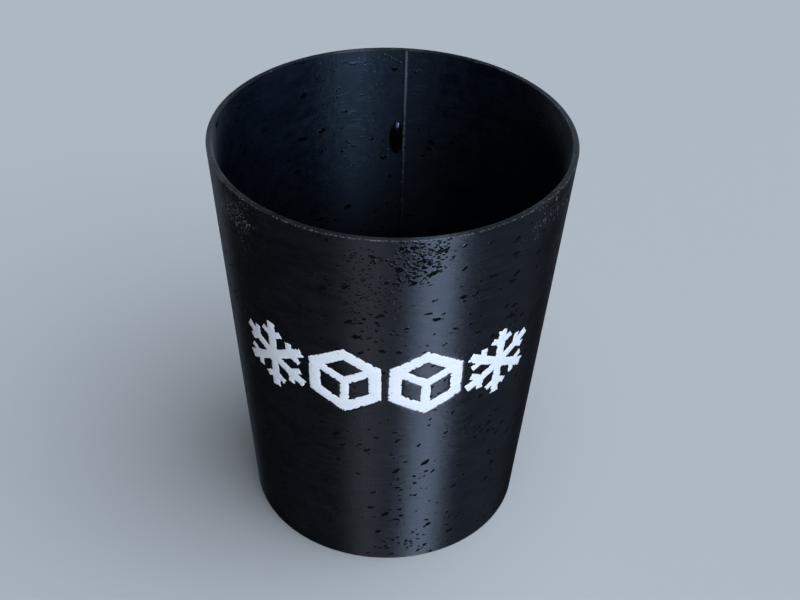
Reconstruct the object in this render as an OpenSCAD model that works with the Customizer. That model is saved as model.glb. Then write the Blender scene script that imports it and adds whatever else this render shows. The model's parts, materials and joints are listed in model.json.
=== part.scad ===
// Handheld salt spreader: a tapered open-top cup with a perforated floor and four inlaid pictograms.
// Millimetres, +Z up. The origin is the centre of the base, and the pictograms face -Y.
// The cup is filled through its mouth and shaken, and salt falls through the holes in its floor.

/* [Cup] */
// Outer diameter at the rim
top_d = 120; // [110:1:135]
// Outer diameter at the base
base_d = 96.6; // [90:0.2:105]
// Height from the base to the rim
cup_h = 146.5; // [130:0.5:165]
// Thickness of the side wall
wall_t = 2; // [1.6:0.2:3]
// Thickness of the floor
floor_t = 3; // [2:0.5:4]
// Small bevel on the rim and base edges
edge_bevel = 0.4; // [0.2:0.1:0.6]

/* [Dispensing holes] */
// Diameter of one hole in the floor
hole_d = 9; // [7:0.5:10]
// Distance from one ring of holes to the next
ring_pitch = 17.5; // [16:0.5:18]
// Number of rings round the centre hole
ring_count = 2; // [1:1:2]

/* [Inlaid pictograms] */
// Height of one pictogram
mark_h = 27.6; // [22:0.2:30]
// Height of the pictograms' middle above the base
mark_z = 87.5; // [70:0.5:95]
// Turn round the cup from one pictogram to the next, in degrees
mark_step = 27.5; // [27:0.5:32]
// Depth of the inlay into the wall
mark_depth = 0.8; // [0.6:0.2:1]
// Width of a pictogram's main strokes
stroke_w = 4; // [3:0.2:4.4]

/* [Wall seam] */
// Turn of the seam from the middle of the front, in degrees
seam_turn = 176.5; // [150:0.5:210]
// How far the seam's ridge stands out from the inner wall
seam_rise = 0.3; // [0.2:0.1:0.4]

/* [Hidden] */
$fn = 128;
top_r = top_d / 2;
base_r = base_d / 2;
inner_base_r = base_r - wall_t;
inner_top_r = top_r - wall_t;
taper = atan2(top_r - base_r, cup_h);
seam_r = 0.6;
holes_in_first_ring = 6;
// A hexagon's flat-to-flat width is its corner-to-corner height times this
hexagon_aspect = cos(30);
// Snowflake: each arm reaches half the pictogram's height, and its branches leave it past the middle
arm_len = mark_h / 2;
arm_w = stroke_w * 0.85;
branch_from = arm_len * 0.58;
branch_len = arm_len / 3;
branch_w = stroke_w * 0.6;
// Crystal: corner radius of the outline, and width of the three edges inside it
crystal_r = mark_h / 2;
inner_edge_w = stroke_w * 0.8;

// Outer radius of the cup at height z
function outer_r(z) = base_r + (top_r - base_r) * z / cup_h;

// Inner radius of the cup at height z
function inner_r(z) = outer_r(z) - wall_t;

// Turn of pictogram i from the middle of the front, 0 being the leftmost
function mark_turn(i) = (i - 1.5) * mark_step;

// A bar that starts at the origin and runs along +Y
module bar(length, width) {
  translate([-width / 2, 0]) square([width, length]);
}

// Six arms, each with a pair of branches
module snowflake() {
  for (arm = [0 : 60 : 300]) rotate(arm) {
    bar(arm_len, arm_w);
    for (side = [-60, 60])
      translate([0, branch_from]) rotate(side) bar(branch_len, branch_w);
  }
}

// A cube of salt seen corner on: a hexagonal outline and the three edges that meet at its near corner
module crystal() {
  difference() {
    rotate(90) circle(r = crystal_r, $fn = 6);
    rotate(90) circle(r = crystal_r - stroke_w / hexagon_aspect, $fn = 6);
  }
  for (edge = [60, 180, 300]) rotate(edge) bar(crystal_r - stroke_w, inner_edge_w);
}

// Everything beyond the pocket floor of pictogram i, out past the wall, along its own direction
module mark_space(i) {
  difference() {
    rotate([0, 0, mark_turn(i)]) translate([0, 0, mark_z]) rotate([90, 0, 0])
      linear_extrude(height = top_d) children();
    cylinder(h = cup_h, r1 = base_r - mark_depth, r2 = top_r - mark_depth);
  }
}

// One inlay: its outer face is flush with the wall, and its back sits on the pocket's floor
module inlay(i) {
  color("whitesmoke") intersection() {
    cylinder(h = cup_h, r1 = base_r, r2 = top_r);
    mark_space(i) children();
  }
}

// Solid of revolution of the wall and the floor
module shell() {
  rotate_extrude() polygon([
    [0, 0],
    [base_r - edge_bevel, 0],
    [outer_r(edge_bevel), edge_bevel],
    [outer_r(cup_h - edge_bevel), cup_h - edge_bevel],
    [top_r - edge_bevel, cup_h],
    [inner_top_r + edge_bevel, cup_h],
    [inner_r(cup_h - edge_bevel), cup_h - edge_bevel],
    [inner_r(floor_t), floor_t],
    [0, floor_t]
  ]);
}

// A hole in the middle, then rings of 6 and 12
module dispensing_holes() {
  for (ring = [0 : ring_count])
    let (count = max(1, holes_in_first_ring * ring))
      for (k = [0 : count - 1])
        rotate([0, 0, 360 / count * k]) translate([0, -ring_pitch * ring, -1])
          cylinder(h = floor_t + 2, d = hole_d);
}

// The thin ridge where each printed layer starts and ends, from the floor to just below the rim
module seam_ridge() {
  foot = floor_t - 0.5;
  ridge_len = (cup_h - edge_bevel - foot) / cos(taper);
  rotate([0, 0, seam_turn])
    translate([0, -inner_r(foot) - seam_r + seam_rise, foot])
      rotate([taper, 0, 0]) cylinder(h = ridge_len, r = seam_r, $fn = 24);
}

module cup() {
  color([0.05, 0.055, 0.065]) {
    difference() {
      shell();
      dispensing_holes();
      mark_space(0) snowflake();
      mark_space(1) crystal();
      mark_space(2) crystal();
      mark_space(3) snowflake();
    }
    seam_ridge();
  }
}

module snowflake_left() { inlay(0) snowflake(); }
module crystal_left() { inlay(1) crystal(); }
module crystal_right() { inlay(2) crystal(); }
module snowflake_right() { inlay(3) snowflake(); }

cup();
snowflake_left();
crystal_left();
crystal_right();
snowflake_right();
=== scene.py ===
"""Looks of the handheld salt spreader: a black printed cup with four white inlays."""

import json
import math
import random

import bmesh
import bpy
import numpy as np
from mathutils import Matrix, Vector
from mathutils.geometry import delaunay_2d_cdt


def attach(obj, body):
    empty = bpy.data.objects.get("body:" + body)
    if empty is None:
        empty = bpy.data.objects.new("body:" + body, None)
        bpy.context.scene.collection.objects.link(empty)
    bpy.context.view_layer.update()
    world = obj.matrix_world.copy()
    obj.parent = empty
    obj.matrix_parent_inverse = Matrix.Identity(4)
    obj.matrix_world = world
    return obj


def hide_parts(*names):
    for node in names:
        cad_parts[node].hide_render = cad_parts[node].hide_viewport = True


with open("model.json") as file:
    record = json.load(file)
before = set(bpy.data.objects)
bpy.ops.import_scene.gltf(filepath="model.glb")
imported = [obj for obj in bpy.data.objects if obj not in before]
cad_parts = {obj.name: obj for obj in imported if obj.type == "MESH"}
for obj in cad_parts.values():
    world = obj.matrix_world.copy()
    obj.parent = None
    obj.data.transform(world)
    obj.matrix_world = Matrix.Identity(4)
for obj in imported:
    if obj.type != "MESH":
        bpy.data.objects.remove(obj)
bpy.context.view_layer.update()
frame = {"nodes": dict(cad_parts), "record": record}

MM = 0.001
MARKS = ["snowflake_left", "crystal_left", "crystal_right", "snowflake_right"]

# Camera: the photograph's viewing angle, aimed at a point close to the cup's axis
VIEW_PITCH = math.radians(37.4)
VIEW_ROLL = math.radians(-1.76)
VIEW_DISTANCE = 0.4993
VIEW_AIM = Vector((0.0039, 0.0, 0.0794))
VIEW_LENS = 64.1
VIEW_SENSOR = 36

# Two lengths read from the CAD are the same within SAME, and two of its points within VERTEX_SNAP
SAME = 0.01 * MM
VERTEX_SNAP = 0.002 * MM

# For delaunay_2d_cdt: its tolerance, in millimetres, and its output type
CDT_TOLERANCE = 1e-5
CDT_INSIDE_TRIANGLES = 1

# How finely the cup is built, and how far its outer wall stays inside the CAD's
COLUMNS = 300
ROW_STEP = 1.5 * MM
EDGE_STEPS = 4
FACET_GAP = 0.03 * MM

# The patch of wall round the inlays: its margins, and how clear of the outlines its grid stays
PATCH_MARGIN = MM
PATCH_TURN = 0.03
OUTLINE_CLEARANCE = 0.6 * MM

# The printed beads across the rim
RIM_BEADS = 5
BEAD_STEPS = 4
BEAD_DEPTH = 0.05 * MM

# The fine columns beside the seam, and how far from it the even columns stop
SEAM_REACH = 1.2 * MM
SEAM_STEP = 0.2 * MM
SEAM_CLEARANCE = 1.5 * MM

# The seam: its half width, how far and how quickly it wanders, the share and quickness of its
# blobs, the length over which it fades out, and its share as a dent outside
SEAM_HALF_WIDTH = 0.42 * MM
SEAM_WANDER = 0.12 * MM
SEAM_WANDER_RATE = 0.16 / MM
SEAM_BLOB_SHARE = 0.28
SEAM_BLOB_RATE = 0.62 / MM
SEAM_FADE = MM
OUTER_SEAM_SHARE = 0.35

# A CAD point is the seam's if it stands out from the inner wall by at least this
SEAM_LEAST_RISE = 0.15 * MM

# The inlays' printed edge: point spacing, wander, notches, and the joint line's depth and half width
EDGE_SPACING = 0.45 * MM
EDGE_WANDER = 0.13 * MM
NOTCH_SHARE = 0.10
NOTCH_DEPTH = 0.55 * MM
JOINT_DEPTH = 0.07 * MM
JOINT_HALF_WIDTH = 0.16 * MM
SHARP_TURN = math.radians(20)

# The floor's holes, its grid, and how clear the grid stays of its border and its holes
HOLE_STEPS = 40
HOLE_CHAMFER = 0.25 * MM
FLOOR_GRID = 3.0 * MM
BORDER_CLEARANCE = 0.6 * FLOOR_GRID
HOLE_CLEARANCE = 0.5 * FLOOR_GRID

# Edges sharper than this are shaded sharp
SHARP_EDGE = math.radians(38)

# The cup's two material slots
OUTSIDE = 0
INSIDE = 1

# The materials work in millimetres, down from the rim: RIM, below, is its height.

# The print's layer height, and the spacing of its rings on flat faces, in millimetres
LAYER = 0.28
BEAD = 0.42

# The seam's crest with its painted highlight, and the pale specks painted as glints: their colour,
# roughness and rise
SEAM_HIGHLIGHT_COLOUR = (0.06, 0.07, 0.085)
GLINT_COLOUR = (0.30, 0.32, 0.35)
GLINT_ROUGHNESS = 0.65
GLINT_RISE = 0.03

# The white print: its colours where it is darkest and lightest, on its streaks and its smudges
WHITE_DARK = (0.535, 0.545, 0.585)
WHITE_LIGHT = (0.615, 0.625, 0.665)
WHITE_STREAKS = (0.46, 0.46, 0.50)
WHITE_SMUDGES = (0.16, 0.16, 0.18)

# Water on the cup: its colour and roughness, how high the drops stand, and the large drop inside
WATER_COLOUR = (0.0012, 0.0016, 0.0022)
WATER_ROUGHNESS = 0.10
DROP_DOME = 0.12
HANGING_DOME = 1.8
DROP_X = 0.8
DROP_BELOW_RIM = 34.5
DROP_HALF_WIDTH = 2.7
DROP_HALF_HEIGHT = 6.8

# The stage
STAGE_RADIUS = 6.0
MIDDLE_HEIGHT = 0.08
DAYLIGHT = (0.74, 0.87, 1.0)
SKYLIGHT = (0.84, 0.92, 1.0)
WARM_LIGHT = (1.0, 0.98, 0.95)
FLOOR_COLOUR = (0.56, 0.58, 0.61)
BACKDROP_COLOUR = (0.46, 0.53, 0.61)

random.seed(7)


# ---------------------------------------------------------------- sizes, read from the CAD cup

CUP_POINTS = np.array([v.co for v in frame["nodes"]["cup"].data.vertices])
CUP_RADII = np.hypot(CUP_POINTS[:, 0], CUP_POINTS[:, 1])
CUP_HEIGHTS = CUP_POINTS[:, 2]
HEIGHT = float(CUP_HEIGHTS.max())
RIM = round(HEIGHT / MM, 1)
BEVEL = float(CUP_HEIGHTS[CUP_HEIGHTS > SAME].min())
FLOOR = float(CUP_HEIGHTS[(CUP_RADII < 0.5 * CUP_RADII.max()) & (CUP_HEIGHTS > BEVEL)].min())
ON_RIM = CUP_HEIGHTS > HEIGHT - SAME
LOW_RADIUS = float(CUP_RADII[CUP_HEIGHTS < 1.5 * BEVEL].max())
HIGH_RADIUS = float(CUP_RADII.max())
WALL = float(CUP_RADII[ON_RIM].max() - CUP_RADII[ON_RIM].min()) + 2 * BEVEL
SLOPE = (HIGH_RADIUS - LOW_RADIUS) / (HEIGHT - 2 * BEVEL)
MIDDLE_RADIUS = (LOW_RADIUS + HIGH_RADIUS) / 2


def cad_radius(z):
    return LOW_RADIUS + (z - BEVEL) * SLOPE


def outer_radius(z):
    """The outer wall's radius, a hair inside the CAD's, so that no point passes its flat facets."""
    return cad_radius(z) - FACET_GAP


def inner_radius(z):
    return outer_radius(z) - WALL


def angle_of(x, y):
    """Turn round the cup from the front (-Y), positive towards +X."""
    return np.arctan2(x, -np.asarray(y))


def around(angle, radius, z):
    return Vector((radius * math.sin(angle), -radius * math.cos(angle), z))


# The CAD points that stand in from the inner wall are the seam's
ON_SEAM = (CUP_RADII < inner_radius(CUP_HEIGHTS) - SEAM_LEAST_RISE) & (CUP_HEIGHTS > FLOOR + MM)
SEAM_ANGLE = float(np.mean(angle_of(CUP_POINTS[ON_SEAM, 0], CUP_POINTS[ON_SEAM, 1])))
SEAM_RISE = float((inner_radius(CUP_HEIGHTS[ON_SEAM]) - CUP_RADII[ON_SEAM]).max())


# ---------------------------------------------------------------- mesh building

class Shell:
    """Collects points and faces, and turns them into an object.

    A face takes the material that is chosen when it is added.
    """

    def __init__(self, name):
        self.name = name
        self.points = []
        self.faces = []
        self.choices = []
        self.choice = OUTSIDE

    def add(self, point):
        self.points.append(tuple(point))
        return len(self.points) - 1

    def ring(self, points):
        return [self.add(p) for p in points]

    def face(self, *corners):
        self.faces.append(corners)
        self.choices.append(self.choice)

    def bridge(self, low, high, skip=()):
        """Quads between two rings of the same length.

        They face away from the axis when low is below high, and towards it the other way round.
        """
        count = len(low)
        for i in range(count):
            if i not in skip:
                j = (i + 1) % count
                self.face(low[i], low[j], high[j], high[i])

    def build(self, materials):
        mesh = bpy.data.meshes.new(self.name)
        mesh.from_pydata(self.points, [], self.faces)
        for material in materials:
            mesh.materials.append(material)
        for polygon, choice in zip(mesh.polygons, self.choices):
            polygon.material_index = choice
            polygon.use_smooth = True
        work = bmesh.new()
        work.from_mesh(mesh)
        loose = [v for v in work.verts if not v.link_faces]
        bmesh.ops.delete(work, geom=loose, context="VERTS")
        work.to_mesh(mesh)
        work.free()
        mesh.set_sharp_from_angle(angle=SHARP_EDGE)
        piece = bpy.data.objects.new(self.name, mesh)
        bpy.context.scene.collection.objects.link(piece)
        return piece


def triangulate(flat, edges):
    """Triangles between flat points that keep the given edges.

    It works in millimetres, which suits the tolerance.
    """
    scaled = [p / MM for p in flat]
    result = delaunay_2d_cdt(scaled, edges, [], CDT_INSIDE_TRIANGLES, CDT_TOLERANCE)
    spots, _, faces, origin, _, _ = result
    return [p * MM for p in spots], faces, origin


def wobble(t, seed):
    """A smooth random-looking value from -1 to 1 along t."""
    slow = math.sin(1.7 * t + seed)
    middling = math.sin(3.1 * t + 2.3 * seed)
    quick = math.sin(7.3 * t + 0.7 * seed)
    return (slow + middling + quick) / 3


# ---------------------------------------------------------------- outlines of the inlays

def outer_face_outlines(node):
    """Closed outlines of the CAD inlay's outer face, as (arc, height) points on the unrolled wall."""
    mesh = frame["nodes"][node].data
    key = {}
    place = {}
    for v in mesh.vertices:
        spot = tuple(round(c / VERTEX_SNAP) for c in v.co)
        key[v.index] = spot
        place[spot] = v.co.copy()
    on_wall = {
        spot: abs(math.hypot(p.x, p.y) - cad_radius(p.z)) < 2 * SAME for spot, p in place.items()
    }
    edges = {}
    for face in mesh.polygons:
        spots = [key[i] for i in face.vertices]
        if all(on_wall[s] for s in spots):
            for a, b in zip(spots, spots[1:] + spots[:1]):
                edges[(a, b)] = True
    follow = {a: b for a, b in edges if (b, a) not in edges}
    outlines = []
    while follow:
        start, spot = follow.popitem()
        loop = [start]
        while spot != start:
            loop.append(spot)
            spot = follow.pop(spot)
        flat = []
        for s in loop:
            p = place[s]
            flat.append(Vector((float(angle_of(p.x, p.y)) * MIDDLE_RADIUS, p.z)))
        outlines.append(flat)
    return outlines


def turn_at(before, here, after):
    a = here - before
    b = after - here
    return abs(math.atan2(a.x * b.y - a.y * b.x, a.dot(b)))


def printed_outline(outline):
    """The outline with evenly spaced points that wander a little, and its true corners kept."""
    count = len(outline)
    following = outline[1:] + outline[:1]
    turns = [turn_at(outline[i - 1], outline[i], following[i]) for i in range(count)]
    corners = [i for i, turn in enumerate(turns) if turn > SHARP_TURN]
    points = []
    for first, last in zip(corners, corners[1:] + [corners[0] + count]):
        start = outline[first % count]
        end = outline[last % count]
        run = end - start
        side = Vector((-run.y, run.x)).normalized()
        steps = max(1, round(run.length / EDGE_SPACING))
        for k in range(steps):
            shift = random.uniform(-1, 1) * EDGE_WANDER
            if random.random() < NOTCH_SHARE:
                shift = random.uniform(0.5, 1) * NOTCH_DEPTH
            points.append(start + run * (k / steps) + side * (shift if k else 0))
    return points


def inside_outlines(spots, outlines):
    """True for each spot that an odd number of outlines goes round."""
    x, y = spots[:, 0], spots[:, 1]
    inside = np.zeros(len(spots), bool)
    for outline in outlines:
        for a, b in zip(outline, outline[1:] + outline[:1]):
            if a.y != b.y:
                crosses = (a.y > y) != (b.y > y)
                inside ^= crosses & (x < a.x + (y - a.y) * (b.x - a.x) / (b.y - a.y))
    return inside


def beside(outline, offset):
    """Points offset to one side of a closed outline."""
    count = len(outline)
    moved = []
    for i in range(count):
        along = (outline[(i + 1) % count] - outline[i - 1]).normalized()
        moved.append(outline[i] + Vector((-along.y, along.x)) * offset)
    return moved


# ---------------------------------------------------------------- the cup and its inlays

def seam_profile(angle, z, radius):
    """How far the seam stands out at this place: 1 on its crest, 0 away from it, with printed blobs."""
    off = (angle - SEAM_ANGLE) * radius
    off -= SEAM_WANDER * wobble(z * SEAM_WANDER_RATE, 1.0)
    crest = math.exp(-((off / SEAM_HALF_WIDTH) ** 2))
    ends = min(1, max(0, (z - FLOOR) / SEAM_FADE), max(0, (HEIGHT - BEVEL - z) / SEAM_FADE))
    blobs = 1 - SEAM_BLOB_SHARE + SEAM_BLOB_SHARE * wobble(z * SEAM_BLOB_RATE, 4.0)
    return crest * ends * blobs


def column_angles():
    """The angles of the wall's columns: even round the cup, and closer together beside the seam."""
    even = [2 * math.pi * (i + 0.5) / COLUMNS - math.pi for i in range(COLUMNS)]
    reach = SEAM_REACH / MIDDLE_RADIUS
    kept = [a for a in even if abs(a - SEAM_ANGLE) > SEAM_CLEARANCE / MIDDLE_RADIUS]
    steps = round(SEAM_REACH / SEAM_STEP)
    kept += [SEAM_ANGLE + reach * k / steps for k in range(-steps, steps + 1)]
    return sorted(kept)


def wall_heights(low, high):
    steps = round((high - low) / ROW_STEP)
    return [low + (high - low) * k / steps for k in range(steps + 1)]


def corner_arc(centre_r, centre_z, start, steps=EDGE_STEPS):
    """Points of a quarter circle of radius BEVEL, turning left from the start angle."""
    return [
        (
            centre_r + BEVEL * math.cos(start + math.pi / 2 * k / steps),
            centre_z + BEVEL * math.sin(start + math.pi / 2 * k / steps),
        )
        for k in range(1, steps)
    ]


def rim_profile():
    """The rim from its outer to its inner edge: rounded edges, and the printed beads across its top."""
    outer = outer_radius(HEIGHT) - BEVEL
    inner = inner_radius(HEIGHT) + BEVEL
    top = HEIGHT - BEVEL
    profile = corner_arc(outer, top, 0)
    steps = RIM_BEADS * BEAD_STEPS
    for k in range(steps + 1):
        dip = BEAD_DEPTH * (1 - abs(math.sin(math.pi * k / BEAD_STEPS)))
        profile.append((outer + (inner - outer) * k / steps, HEIGHT - dip))
    return profile + corner_arc(inner, top, math.pi / 2)


class Cup:
    """Builds the cup's shell with its pockets, and a shell for each inlay that fills one."""

    def __init__(self):
        self.shell = Shell("printed_cup")
        self.angles = column_angles()
        self.outlines = {name: [printed_outline(o) for o in outer_face_outlines(name)] for name in MARKS}

    def ring_at(self, radius, z, seam=0.0):
        """A ring of points, moved towards the axis by up to seam where the seam is.

        On the inner wall that is the ridge, and on the outer wall a shallow dent.
        """
        return self.shell.ring(
            around(a, radius - seam * seam_profile(a, z, radius), z) for a in self.angles
        )

    def patch_limits(self, heights):
        """Columns and rows of the part of the outer wall that holds the inlays."""
        flat = [p for outlines in self.outlines.values() for o in outlines for p in o]
        reach = max(abs(p.x) for p in flat) / MIDDLE_RADIUS
        first = max(i for i, a in enumerate(self.angles) if a < -reach - PATCH_TURN)
        last = min(i for i, a in enumerate(self.angles) if a > reach + PATCH_TURN)
        lowest = min(p.y for p in flat) - PATCH_MARGIN
        highest = max(p.y for p in flat) + PATCH_MARGIN
        low = max(j for j, z in enumerate(heights) if z < lowest)
        high = min(j for j, z in enumerate(heights) if z > highest)
        return first, last, low, high

    def build_outer_wall(self):
        heights = wall_heights(BEVEL, HEIGHT - BEVEL)
        first, last, low, high = self.patch_limits(heights)
        dent = OUTER_SEAM_SHARE * SEAM_RISE
        rings = [self.ring_at(outer_radius(z), z, seam=dent) for z in heights]
        for j in range(len(rings) - 1):
            skip = set(range(first, last)) if low <= j < high else ()
            self.shell.bridge(rings[j], rings[j + 1], skip)
        self.build_patch(heights, rings, (first, last, low, high))
        return rings[0], rings[-1]

    def build_patch(self, heights, rings, limits):
        """The stretch of outer wall with the pockets, and the inlays that fill them."""
        first, last, low, high = limits
        flat = []
        known = {}
        edges = []
        lines = [o for outlines in self.outlines.values() for o in outlines]
        line_points = np.array([p for o in lines for p in o])

        def put(spot, vertex=None):
            flat.append(Vector(spot))
            known[len(flat) - 1] = vertex
            return len(flat) - 1

        grid = {}
        for j in range(low, high + 1):
            for i in range(first, last + 1):
                spot = np.array((self.angles[i] * MIDDLE_RADIUS, heights[j]))
                border = i in (first, last) or j in (low, high)
                if border or np.min(np.hypot(*(line_points - spot).T)) > OUTLINE_CLEARANCE:
                    grid[i, j] = put(spot, rings[j][i])
        around_patch = (
            [(i, low) for i in range(first, last)]
            + [(last, j) for j in range(low, high)]
            + [(i, high) for i in range(last, first, -1)]
            + [(first, j) for j in range(high, low, -1)]
        )
        for a, b in zip(around_patch, around_patch[1:] + around_patch[:1]):
            edges.append((grid[a], grid[b]))
        joint = set()
        for line in lines:
            numbers = [put(p) for p in line]
            joint.update(numbers)
            edges += list(zip(numbers, numbers[1:] + numbers[:1]))
            for offset in (-JOINT_HALF_WIDTH, JOINT_HALF_WIDTH):
                for p in beside(line, offset):
                    put(p)
        spots, faces, origin = triangulate(flat, edges)
        centres = np.array([sum((Vector(spots[i]) for i in f), Vector((0, 0))) / 3 for f in faces])
        owner = np.full(len(faces), -1)
        for k, name in enumerate(MARKS):
            owner[inside_outlines(centres, self.outlines[name])] = k

        depth = self.pocket_depth()
        on_joint = [any(o in joint for o in origin[n]) or not origin[n] for n in range(len(spots))]
        top = {}
        pocket = {}

        def wall_point(n, deep):
            z = spots[n].y
            return around(spots[n].x / MIDDLE_RADIUS, outer_radius(z) - deep, z)

        def top_vertex(n):
            if n not in top:
                reused = next((known[o] for o in origin[n] if known.get(o) is not None), None)
                if reused is None:
                    reused = self.shell.add(wall_point(n, JOINT_DEPTH if on_joint[n] else 0))
                top[n] = reused
            return top[n]

        def pocket_vertex(n):
            if n not in pocket:
                pocket[n] = self.shell.add(wall_point(n, depth))
            return pocket[n]

        for f, mark in zip(faces, owner):
            vertex = top_vertex if mark < 0 else pocket_vertex
            self.shell.face(*[vertex(n) for n in f])
        self.inlays = []
        for k, name in enumerate(MARKS):
            own = [f for f, mark in zip(faces, owner) if mark == k]
            halves = {(a, b) for f in own for a, b in zip(f, f[1:] + f[:1])}
            rim = [(a, b) for a, b in halves if (b, a) not in halves]
            for a, b in sorted(rim):
                self.shell.face(pocket_vertex(b), pocket_vertex(a), top_vertex(a), top_vertex(b))
            self.inlays.append(self.build_inlay(name, own, sorted(rim), wall_point, on_joint, depth))

    def build_inlay(self, name, own, rim, wall_point, on_joint, depth):
        """An inlay from its own triangles: a front in the wall's surface, a back, and sides."""
        inlay = Shell("inlay_" + name)
        front = {}
        back = {}
        for n in sorted({n for f in own for n in f}):
            front[n] = inlay.add(wall_point(n, JOINT_DEPTH if on_joint[n] else 0))
            back[n] = inlay.add(wall_point(n, depth))
        for f in own:
            inlay.face(*[front[n] for n in f])
            inlay.face(*[back[n] for n in reversed(f)])
        for a, b in rim:
            inlay.face(front[b], front[a], back[a], back[b])
        return inlay

    def pocket_depth(self):
        """How deep the CAD's inlays go into the wall."""
        points = np.array([v.co for v in frame["nodes"][MARKS[0]].data.vertices])
        return float((cad_radius(points[:, 2]) - np.hypot(points[:, 0], points[:, 1])).max())

    def build_rim_and_inner_wall(self, ring):
        for radius, z in rim_profile():
            following = self.ring_at(radius, z)
            self.shell.bridge(ring, following)
            ring = following
        self.shell.choice = INSIDE
        for z in reversed(wall_heights(FLOOR, HEIGHT - BEVEL)):
            following = self.ring_at(inner_radius(z), z, seam=SEAM_RISE)
            self.shell.bridge(ring, following)
            ring = following
        self.shell.choice = OUTSIDE
        return ring

    def build_base_edge(self, ring):
        base = outer_radius(0) - BEVEL
        for radius, z in reversed(corner_arc(base, BEVEL, -math.pi / 2)):
            following = self.ring_at(radius, z)
            self.shell.bridge(following, ring)
            ring = following
        foot = self.ring_at(base, 0)
        self.shell.bridge(foot, ring)
        return foot

    def hole_centres(self):
        """Where the floor's holes are, from the openings in the record."""
        openings = frame["record"]["physics"]["openings"]
        boxes = [o["box_m"] for o in openings if "dispensing" in o["name"]]
        return [(Vector(low) + Vector(high)).xy / 2 for low, high in boxes]

    def build_hole(self, centre, profile):
        """A hole's wall, which faces its own axis. Gives its rings, from the top down."""
        turns = [2 * math.pi * k / HOLE_STEPS for k in range(HOLE_STEPS)]
        rings = []
        for radius, z in profile:
            points = [
                (centre.x + radius * math.cos(t), centre.y + radius * math.sin(t), z) for t in turns
            ]
            rings.append(self.shell.ring(points))
        for high, low in zip(rings, rings[1:]):
            self.shell.bridge(high, low)
        return rings

    def build_floor(self, foot, inner_foot):
        centres = self.hole_centres()
        near = CUP_POINTS[np.abs(CUP_HEIGHTS - FLOOR) < SAME][:, :2]
        hole = float(np.hypot(*(near - np.array(centres[0])).T).min())
        profile = [
            (hole + HOLE_CHAMFER, FLOOR),
            (hole, FLOOR - HOLE_CHAMFER),
            (hole, HOLE_CHAMFER),
            (hole + HOLE_CHAMFER, 0),
        ]
        mouths = []
        outlets = []
        for centre in centres:
            rings = self.build_hole(centre, profile)
            mouths.append(rings[0])
            outlets.append(rings[-1])
        self.shell.choice = INSIDE
        self.fill_disc(inner_foot, mouths, centres, hole, facing_up=True)
        self.shell.choice = OUTSIDE
        self.fill_disc(foot, outlets, centres, hole, facing_up=False)

    def fill_disc(self, border, holes, centres, hole, facing_up):
        """A flat disc with round holes, meshed evenly between them."""
        numbers = list(border) + [n for ring in holes for n in ring]
        flat = [Vector(self.shell.points[n][:2]) for n in numbers]
        z = self.shell.points[border[0]][2]
        reach = min(p.length for p in flat[: len(border)]) - BORDER_CLEARANCE
        count = math.ceil(reach / FLOOR_GRID)
        row = FLOOR_GRID * math.sin(math.pi / 3)
        for j in range(-count * 2, count * 2 + 1):
            for i in range(-count * 2, count * 2 + 1):
                p = Vector(((i + 0.5 * (j % 2)) * FLOOR_GRID, j * row))
                clear = min((p - c).length for c in centres) > hole + HOLE_CLEARANCE
                if p.length < reach and clear:
                    flat.append(p)
                    numbers.append(self.shell.add((p.x, p.y, z)))
        rings = [list(range(len(border)))]
        for k in range(len(holes)):
            start = len(border) + k * HOLE_STEPS
            rings.append(list(range(start, start + HOLE_STEPS)))
        edges = [pair for ring in rings for pair in zip(ring, ring[1:] + ring[:1])]
        spots, faces, origin = triangulate(flat, edges)
        for f in faces:
            middle = sum((Vector(spots[i]) for i in f), Vector((0, 0))) / 3
            if min((middle - c).length for c in centres) < hole + HOLE_CHAMFER:
                continue
            corners = tuple(numbers[origin[i][0]] for i in f)
            self.shell.face(*(corners if facing_up else corners[::-1]))

    def build(self):
        bottom, top = self.build_outer_wall()
        inner_foot = self.build_rim_and_inner_wall(top)
        foot = self.build_base_edge(bottom)
        self.build_floor(foot, inner_foot)
        return self.shell, self.inlays


# ---------------------------------------------------------------- materials

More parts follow.
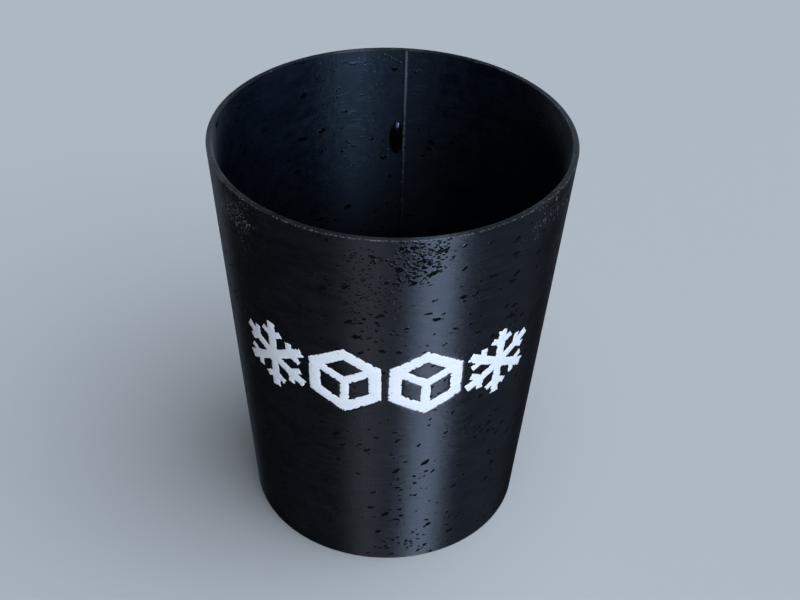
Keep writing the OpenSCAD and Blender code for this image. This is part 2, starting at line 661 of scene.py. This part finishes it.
class Look:
    """One material, with short ways to add and join its nodes. Lengths in its nodes are millimetres."""

    def __init__(self, name):
        self.material = bpy.data.materials.new(name)
        self.material.use_nodes = True
        self.tree = self.material.node_tree
        self.shader = self.tree.nodes["Principled BSDF"]
        place = self.node("TexCoord").outputs["Object"]
        self.place = self.node("VectorMath", {0: place, "Scale": 1 / MM}, operation="SCALE").outputs[0]
        self.x, self.y, self.z = self.node("SeparateXYZ", {0: self.place}).outputs
        squares = self.math("ADD", self.math("POWER", self.x, 2), self.math("POWER", self.y, 2))
        self.radius = self.math("SQRT", squares)
        self.angle = self.math("ARCTAN2", self.x, self.math("MULTIPLY", self.y, -1))

    def node(self, kind, inputs=None, **settings):
        made = self.tree.nodes.new("ShaderNode" + kind)
        for key, value in settings.items():
            setattr(made, key, value)
        for key, value in (inputs or {}).items():
            self.give(made.inputs[key], value)
        return made

    def give(self, socket, value):
        if isinstance(value, bpy.types.NodeSocket):
            self.tree.links.new(value, socket)
        else:
            socket.default_value = value

    def set(self, **values):
        for name, value in values.items():
            self.give(self.shader.inputs[name.replace("_", " ").title()], value)

    def math(self, operation, a, b=0.0, c=0.0):
        return self.node("Math", {0: a, 1: b, 2: c}, operation=operation).outputs[0]

    def total(self, *parts):
        result = parts[0]
        for part in parts[1:]:
            result = self.math("ADD", result, part)
        return result

    def product(self, *parts):
        result = parts[0]
        for part in parts[1:]:
            result = self.math("MULTIPLY", result, part)
        return result

    def fade(self, value, low, high):
        """0 where the value is at low and 1 where it is at high, and smooth between.

        Either may be the larger.
        """
        ends = {"Value": value, "From Min": low, "From Max": high}
        return self.node("MapRange", ends, interpolation_type="SMOOTHSTEP").outputs[0]

    def spread(self, value, low, high):
        """The value's range from 0 to 1 turned into the range from low to high."""
        return self.node("MapRange", {"Value": value, "To Min": low, "To Max": high}).outputs[0]

    def either(self, a, b):
        return self.math("MAXIMUM", a, b)

    def stretched(self, length, width, height, lean=0.0):
        """The place divided by the size of a pattern's features.

        Seen from the front, the features may lean up to the right.
        """
        inputs = {
            "Vector": self.place,
            "Rotation": (0, -lean, 0),
            "Scale": (length, width, height),
        }
        return self.node("Mapping", inputs, vector_type="TEXTURE").outputs[0]

    def noise(self, vector, detail=2.0, roughness=0.5):
        inputs = {"Vector": vector, "Scale": 1.0, "Detail": detail, "Roughness": roughness}
        return self.node("TexNoise", inputs).outputs["Fac"]

    def bent(self, vector, size, amount):
        """The vector pushed about by noise, so that shapes drawn with it have uneven outlines."""
        inputs = {"Vector": self.stretched(size, size, size), "Scale": 1.0}
        wander = self.node("TexNoise", inputs).outputs["Color"]
        middle = (0.5, 0.5, 0.5)
        centred = self.node("VectorMath", {0: wander, 1: middle}, operation="SUBTRACT").outputs[0]
        push = self.node("VectorMath", {0: centred, "Scale": amount}, operation="SCALE").outputs[0]
        return self.node("VectorMath", {0: vector, 1: push}, operation="ADD").outputs[0]

    def drops(self, vector, smallest, largest):
        """Domes scattered one to a cell: 1 in the middle of each, 0 at its edge, and below 0 outside."""
        cell = self.node("TexVoronoi", {"Vector": vector, "Scale": 1.0})
        chance = self.node("SeparateColor", {0: cell.outputs["Color"]}).outputs[0]
        reach = self.spread(chance, smallest, largest)
        part = self.math("DIVIDE", cell.outputs["Distance"], reach)
        return self.math("SUBTRACT", 1.0, self.math("POWER", part, 2))

    def region(self, angle, turn, below, rise):
        """A soft-edged, ragged patch of the wall: 1 in its middle.

        Its middle is at an angle and so far below the rim. turn and rise are its half sizes. The
        angles are in degrees.
        """
        sideways = self.math("SUBTRACT", self.angle, math.radians(angle))
        across = self.math("DIVIDE", sideways, math.radians(turn))
        up = self.math("DIVIDE", self.math("SUBTRACT", self.z, RIM - below), rise)
        far = self.total(self.math("POWER", across, 2), self.math("POWER", up, 2))
        tatters = self.noise(self.stretched(7, 7, 5), roughness=0.7)
        ragged = self.math("ADD", far, self.spread(tatters, -1.5, 1.5))
        return self.fade(ragged, 1.1, 0.3)

    def colour(self, share, a, b):
        """Colour a where share is 0 and b where it is 1. 6 and 7 are the Mix node's colours."""
        first = (*a, 1) if isinstance(a, tuple) else a
        return self.node("Mix", {0: share, 6: first, 7: (*b, 1)}, data_type="RGBA").outputs[2]

    def mixed(self, share, a, b):
        return self.node("Mix", {0: share, 2: a, 3: b}, data_type="FLOAT").outputs[0]

    def bump(self, height):
        """Normals from a height in millimetres."""
        made = self.node("Bump", {"Strength": 1.0, "Distance": MM, "Height": height})
        self.tree.links.new(made.outputs[0], self.shader.inputs["Normal"])


def printed_layers(look):
    """The print's lines as a height from -1 to 1, and where the surface is flat.

    The lines are layers up the walls, and rings across the rim and the floor.
    """
    upward = look.node("SeparateXYZ", {0: look.node("NewGeometry").outputs["True Normal"]}).outputs[2]
    flat = look.fade(look.math("ABSOLUTE", upward), 0.5, 0.8)
    wall = look.math("SINE", look.product(look.z, 2 * math.pi / LAYER))
    rings = look.math("SINE", look.product(look.radius, 2 * math.pi / BEAD))
    return look.mixed(flat, wall, rings), flat


def ellipse(look, across, up):
    """A dome over an ellipse whose edge is where the squares of across and up sum to 1."""
    squares = look.total(look.math("POWER", across, 2), look.math("POWER", up, 2))
    return look.math("SUBTRACT", 1.0, squares)


def outer_water(look):
    """Domes of water outside: scattered drops, and two patches of fine ones under the rim.

    The right patch is a dense net of round drops with larger ones in it. The left one has streaks.
    """
    leaning = look.bent(look.stretched(8, 5, 3.6, lean=math.radians(35)), 1.4, 0.34)
    level = look.bent(look.stretched(8, 8, 4.2), 1.3, 0.35)
    small = look.bent(look.stretched(2.2, 2.2, 1.6), 0.6, 0.38)
    streaky = look.bent(look.stretched(1.5, 1.5, 0.8), 0.6, 0.5)
    net = look.bent(look.stretched(1.15, 1.15, 1.0), 0.5, 0.3)
    blobs = look.bent(look.stretched(4.4, 4.4, 3.2), 1.0, 0.35)
    patches = look.fade(look.noise(look.stretched(16, 16, 13)), 0.5, 0.66)
    right_patch = look.region(angle=8, turn=13, below=6.5, rise=14)
    left_patch = look.product(look.region(angle=-6, turn=12, below=18.5, rise=18), 0.62)
    off_right = look.spread(right_patch, 1.3, 0.0)
    off_left = look.spread(left_patch, 1.2, 0.0)
    off_patches = look.spread(look.either(patches, left_patch), 1.2, 0.0)
    large_drops = look.either(look.drops(leaning, 0.07, 0.27), look.drops(level, 0.05, 0.20))
    small_drops = look.math("SUBTRACT", look.drops(small, 0.16, 0.42), off_patches)
    streak_drops = look.math("SUBTRACT", look.drops(streaky, 0.38, 0.60), off_left)
    net_drops = look.math("SUBTRACT", look.drops(net, 0.42, 0.60), off_right)
    blob_drops = look.math("SUBTRACT", look.drops(blobs, 0.14, 0.46), off_right)
    scattered = look.either(large_drops, small_drops)
    return look.either(look.either(scattered, streak_drops), look.either(net_drops, blob_drops))


def inner_water(look):
    """Domes of water inside: scattered drops, and patches of small ones."""
    level = look.bent(look.stretched(8, 8, 4.6), 1.3, 0.35)
    small = look.bent(look.stretched(1.9, 1.9, 1.7), 0.6, 0.25)
    patches = look.fade(look.noise(look.stretched(16, 16, 13)), 0.52, 0.68)
    small_drops = look.math("SUBTRACT", look.drops(small, 0.16, 0.36), look.spread(patches, 1.2, 0.0))
    return look.either(look.drops(level, 0.07, 0.27), small_drops)


def hanging_drop(look):
    """The one large drop, which hangs beside the seam inside."""
    across = look.math("DIVIDE", look.math("SUBTRACT", look.x, DROP_X), DROP_HALF_WIDTH)
    up = look.math("DIVIDE", look.math("SUBTRACT", look.z, RIM - DROP_BELOW_RIM), DROP_HALF_HEIGHT)
    rear = look.math("GREATER_THAN", look.y, 0)
    return look.product(look.either(ellipse(look, across, up), 0.0), rear)


def painted_glints(look):
    """Pale specks painted as glints: patches round the shoulders under the rim, and a painted highlight
    along the rim's outer edge.
    """
    left_glints = look.fade(look.noise(look.stretched(0.6, 0.6, 0.5), roughness=0.7), 0.57, 0.66)
    left_shoulder = look.product(left_glints, look.region(angle=-54, turn=9, below=9.5, rise=6), 0.8)
    specks = look.fade(look.noise(look.stretched(0.9, 0.9, 0.7), roughness=0.7), 0.60, 0.70)
    patches = look.fade(look.noise(look.stretched(13, 13, 9)), 0.46, 0.60)
    under_rim = look.fade(look.z, RIM - 30.5, RIM - 6.5)
    off_front = look.fade(look.math("ABSOLUTE", look.angle), math.radians(38), math.radians(50))
    rim_glints = look.fade(look.noise(look.stretched(0.8, 0.8, 0.8), roughness=0.7), 0.50, 0.60)
    edge = look.product(
        look.fade(look.z, (HEIGHT - 1.1 * BEVEL) / MM, (HEIGHT - 0.6 * BEVEL) / MM),
        look.fade(look.radius, (HIGH_RADIUS - 1.4 * BEVEL) / MM, (HIGH_RADIUS - 0.7 * BEVEL) / MM),
    )
    shoulders = look.either(look.product(specks, patches, under_rim, off_front, 0.55), left_shoulder)
    return look.either(shoulders, look.product(rim_glints, edge, 0.32))


def seam_highlight(look):
    """A painted highlight on the crest of the seam: pale at the top, faint below, and broken up into
    blobs lower down.
    """
    turn = look.math("ABSOLUTE", look.math("SUBTRACT", look.angle, SEAM_ANGLE))
    off = look.product(turn, inner_radius(HEIGHT) / MM)
    blobs = look.fade(look.noise(look.stretched(3, 3, 1.6)), 0.48, 0.6)
    broken = look.product(blobs, look.fade(look.z, RIM - 68.5, RIM - 50.5))
    pale = look.product(look.fade(look.z, RIM - 28.5, RIM - 18.5), 0.7)
    faint = look.product(look.fade(look.z, RIM - 48.5, RIM - 43.5), 0.3)
    whole = look.total(pale, faint)
    return look.product(look.fade(off, 0.5, 0.25), look.either(whole, broken))


def black_plastic(
    name, water, dark, light, specular, painted_sky_tint, dullness, waves, blur, glinted=False, seamed=False
):
    """Black print, wet in places.

    dullness is added to its roughness, waves is how uneven it is, and blur softens its drops' edges.
    """
    look = Look(name)
    layers, flat = printed_layers(look)
    wall = look.math("SUBTRACT", 1.0, flat)
    streaks = look.noise(look.stretched(14, 14, 0.55), detail=3, roughness=0.7)
    broad = look.noise(look.stretched(22, 22, 9), detail=3, roughness=0.6)
    grain = look.noise(look.stretched(0.5, 0.5, 0.35))
    ripple = look.noise(look.stretched(3.0, 3.0, 0.6), roughness=0.6)
    mottle = look.noise(look.stretched(5, 5, 4), detail=4, roughness=0.6)
    scratches = look.fade(look.noise(look.stretched(6, 6, 0.6)), 0.52, 0.66)
    scuffs = look.product(scratches, look.fade(broad, 0.46, 0.60))
    base = look.colour(look.fade(look.math("ADD", broad, mottle), 0.75, 1.25), dark, light)
    streak_colour = tuple(1.8 * c for c in light)
    scuff_colour = tuple(2.6 * c for c in light)
    base = look.colour(look.product(look.fade(streaks, 0.45, 0.75), 0.5), base, streak_colour)
    base = look.colour(look.product(scuffs, 1.5 * waves), base, scuff_colour)
    rough = look.total(
        0.22 + dullness,
        look.product(streaks, 0.42),
        look.product(broad, 0.14),
        look.product(grain, 0.06),
        look.product(look.math("SUBTRACT", mottle, 0.5), 4 * waves),
        look.product(scuffs, -2.2 * waves),
    )
    height = look.total(
        look.product(layers, 0.008),
        look.product(streaks, 0.06),
        look.product(grain, 0.02),
        look.product(ripple, 0.09),
        look.product(mottle, 1.6 * waves),
    )
    domes = water(look)
    wet = look.product(look.fade(domes, -blur, 0.25 + blur), wall)
    height = look.math("ADD", height, look.product(look.either(domes, 0.0), wall, DROP_DOME))
    if seamed:
        drop = hanging_drop(look)
        wet = look.either(wet, look.fade(drop, 0.0, 0.2))
        height = look.mixed(look.fade(drop, 0.0, 0.1), height, look.product(drop, HANGING_DOME))
    base = look.colour(wet, base, WATER_COLOUR)
    rough = look.mixed(wet, rough, WATER_ROUGHNESS)
    if seamed:
        # Painted highlight: the seam's crest is coloured pale, brightest near the rim
        base = look.colour(look.product(seam_highlight(look), wall, 0.8), base, SEAM_HIGHLIGHT_COLOUR)
    # Pale specks painted as glints on the shoulders and the rim's outer edge, with a rougher, raised
    # surface
    if glinted:
        salt = painted_glints(look)
        base = look.colour(look.product(salt, 0.75), base, GLINT_COLOUR)
        rough = look.mixed(salt, rough, GLINT_ROUGHNESS)
        height = look.math("ADD", height, look.product(salt, GLINT_RISE))
    look.set(base_color=base, roughness=rough)
    look.bump(height)
    look.shader.inputs["Specular IOR Level"].default_value = specular
    # The bluish specular tint paints the blue of the sky into the reflections
    look.shader.inputs["Specular Tint"].default_value = (*painted_sky_tint, 1)
    # The layer lines stretch its highlights up and down the wall
    look.shader.inputs["Anisotropic"].default_value = 1.0
    look.shader.inputs["Anisotropic Rotation"].default_value = 0.25
    tangent = look.node("Tangent", direction_type="RADIAL", axis="Z")
    look.tree.links.new(tangent.outputs[0], look.shader.inputs["Tangent"])
    return look.material


def white_plastic():
    look = Look("white_print")
    layers, _ = printed_layers(look)
    broad = look.noise(look.stretched(7, 7, 3), detail=3)
    streaks = look.noise(look.stretched(9, 9, 0.5), detail=3, roughness=0.6)
    smudges = look.fade(look.noise(look.stretched(1.3, 1.3, 0.9), detail=3, roughness=0.7), 0.62, 0.72)
    base = look.colour(broad, WHITE_DARK, WHITE_LIGHT)
    base = look.colour(look.product(look.fade(streaks, 0.5, 0.75), 0.35), base, WHITE_STREAKS)
    base = look.colour(look.product(smudges, 0.7), base, WHITE_SMUDGES)
    look.set(base_color=base, roughness=look.total(0.44, look.product(streaks, 0.16)))
    look.bump(look.total(look.product(layers, 0.010), look.product(streaks, 0.03)))
    look.shader.inputs["Specular IOR Level"].default_value = 0.4
    return look.material


# ---------------------------------------------------------------- camera, lights and floor

def make_camera():
    data = bpy.data.cameras.new("view")
    data.lens = VIEW_LENS
    data.sensor_width = VIEW_SENSOR
    camera = bpy.data.objects.new("view", data)
    bpy.context.scene.collection.objects.link(camera)
    forward = Vector((0, math.cos(VIEW_PITCH), -math.sin(VIEW_PITCH)))
    tilt = Matrix.Rotation(math.pi / 2 - VIEW_PITCH, 4, "X")
    roll = Matrix.Rotation(-VIEW_ROLL, 4, "Z")
    camera.matrix_world = Matrix.Translation(VIEW_AIM - forward * VIEW_DISTANCE) @ tilt @ roll
    bpy.context.scene.camera = camera


def add_light(name, data, direction, distance, colour, lit):
    """A light that stands in a direction from the cup and lights only the given things."""
    data.color = colour
    light = bpy.data.objects.new(name, data)
    bpy.context.scene.collection.objects.link(light)
    light.location = Vector((0, 0, MIDDLE_HEIGHT)) + direction * distance
    light.rotation_mode = "QUATERNION"
    light.rotation_quaternion = (-direction).to_track_quat("-Z", "Y")
    group = bpy.data.collections.new(name + "_lights")
    for thing in lit:
        group.objects.link(thing)
    light.light_linking.receiver_collection = group
    return light


def direction_at(azimuth, elevation):
    """Azimuth 0 is in front (-Y), and +90 is on the +X side."""
    level = math.cos(math.radians(elevation))
    turn = math.radians(azimuth)
    return Vector((math.sin(turn) * level, -math.cos(turn) * level, math.sin(math.radians(elevation))))


def soft_box(name, azimuth, elevation, width, height, power, colour, lit, distance=1.2):
    data = bpy.data.lights.new(name, "AREA")
    data.shape = "RECTANGLE"
    data.size = width
    data.size_y = height
    data.energy = power
    return add_light(name, data, direction_at(azimuth, elevation), distance, colour, lit)


def make_lights(pieces, floor):
    """Daylight from the front right, weaker light around it, and low lights that edge the cup.

    Each box is given by its azimuth, elevation, width, height and power.
    """
    soft_box("key", 28, 18, 0.42, 0.9, 20, DAYLIGHT, pieces)
    soft_box("front", -12, 20, 0.40, 0.9, 3.2, WARM_LIGHT, pieces)
    soft_box("right", 78, 20, 0.90, 0.9, 1.7, DAYLIGHT, pieces)
    soft_box("rear_right", 132, 7, 0.5, 0.26, 0.75, DAYLIGHT, pieces)
    soft_box("rear_left", -125, 7, 0.6, 0.26, 1.65, DAYLIGHT, pieces)
    soft_box("back", 168, 14, 0.5, 0.5, 2.1, DAYLIGHT, pieces)
    soft_box("rear", 180, 40, 0.5, 0.9, 2.1, DAYLIGHT, pieces)
    top = soft_box("top", 0, 89, 3.0, 3.0, 22, SKYLIGHT, pieces, distance=2.2)
    top.visible_glossy = False
    data = bpy.data.lights.new("floor_wash", "SUN")
    data.energy = 3.1
    data.angle = math.radians(75)
    add_light("floor_wash", data, direction_at(60, 62), 3.0, SKYLIGHT, [floor])


def make_world(colour, strength):
    world = bpy.data.worlds.new("studio")
    world.use_nodes = True
    background = world.node_tree.nodes["Background"]
    background.inputs["Color"].default_value = (*colour, 1)
    background.inputs["Strength"].default_value = strength
    bpy.context.scene.world = world


def stage_object(name, mesh):
    thing = bpy.data.objects.new(name, mesh)
    bpy.context.scene.collection.objects.link(thing)
    thing.visible_glossy = False
    return thing


def make_floor():
    """A pale floor, which isn't mirrored in the cup: the real cup stood on dark wet concrete."""
    mesh = bpy.data.meshes.new("floor")
    s = STAGE_RADIUS
    mesh.from_pydata([(-s, -s, 0), (s, -s, 0), (s, s, 0), (-s, s, 0)], [], [(0, 1, 2, 3)])
    material = bpy.data.materials.new("floor")
    material.use_nodes = True
    shader = material.node_tree.nodes["Principled BSDF"]
    shader.inputs["Base Color"].default_value = (*FLOOR_COLOUR, 1)
    shader.inputs["Roughness"].default_value = 0.8
    mesh.materials.append(material)
    return stage_object("floor", mesh)


def make_backdrop():
    """A pale dome that only the camera sees, so that views from low down have a pale background too."""
    mesh = bpy.data.meshes.new("backdrop")
    work = bmesh.new()
    bmesh.ops.create_uvsphere(work, u_segments=48, v_segments=24, radius=STAGE_RADIUS)
    work.to_mesh(mesh)
    work.free()
    material = bpy.data.materials.new("backdrop")
    material.use_nodes = True
    tree = material.node_tree
    glow = tree.nodes.new("ShaderNodeEmission")
    glow.inputs["Color"].default_value = (*BACKDROP_COLOUR, 1)
    tree.links.new(glow.outputs[0], tree.nodes["Material Output"].inputs["Surface"])
    mesh.materials.append(material)
    dome = stage_object("backdrop", mesh)
    dome.visible_diffuse = False
    dome.visible_transmission = False
    dome.visible_shadow = False


def show(shell, materials, node):
    """Builds a piece that stands for a CAD node."""
    piece = shell.build(materials)
    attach(piece, "root")
    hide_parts(node)
    return piece


scene = bpy.context.scene
scene.view_settings.view_transform = "Standard"
scene.view_settings.look = "None"
make_camera()
make_world(SKYLIGHT, 0.03)
outer_black = black_plastic(
    "black_print",
    outer_water,
    dark=(0.0022, 0.0028, 0.0040),
    light=(0.0042, 0.0050, 0.0064),
    specular=0.62,
    painted_sky_tint=(0.72, 0.79, 1.0),
    dullness=0.0,
    waves=0.04,
    blur=0.0,
    glinted=True,
)
# The same black print inside, given a darker, bluer base colour and a bluer reflection tint: painted
# shade and skylight for the interior
inner_black_painted_tint = black_plastic(
    "black_print_inside_painted_tint",
    inner_water,
    dark=(0.0005, 0.0014, 0.0034),
    light=(0.0020, 0.0039, 0.0078),
    specular=0.40,
    painted_sky_tint=(0.50, 0.70, 1.0),
    dullness=0.18,
    waves=0.18,
    blur=0.35,
    seamed=True,
)
white = white_plastic()
cup_shell, inlay_shells = Cup().build()
pieces = [show(cup_shell, [outer_black, inner_black_painted_tint], "cup")]
pieces += [show(shell, [white], name) for shell, name in zip(inlay_shells, MARKS)]
floor = make_floor()
make_backdrop()
make_lights(pieces, floor)
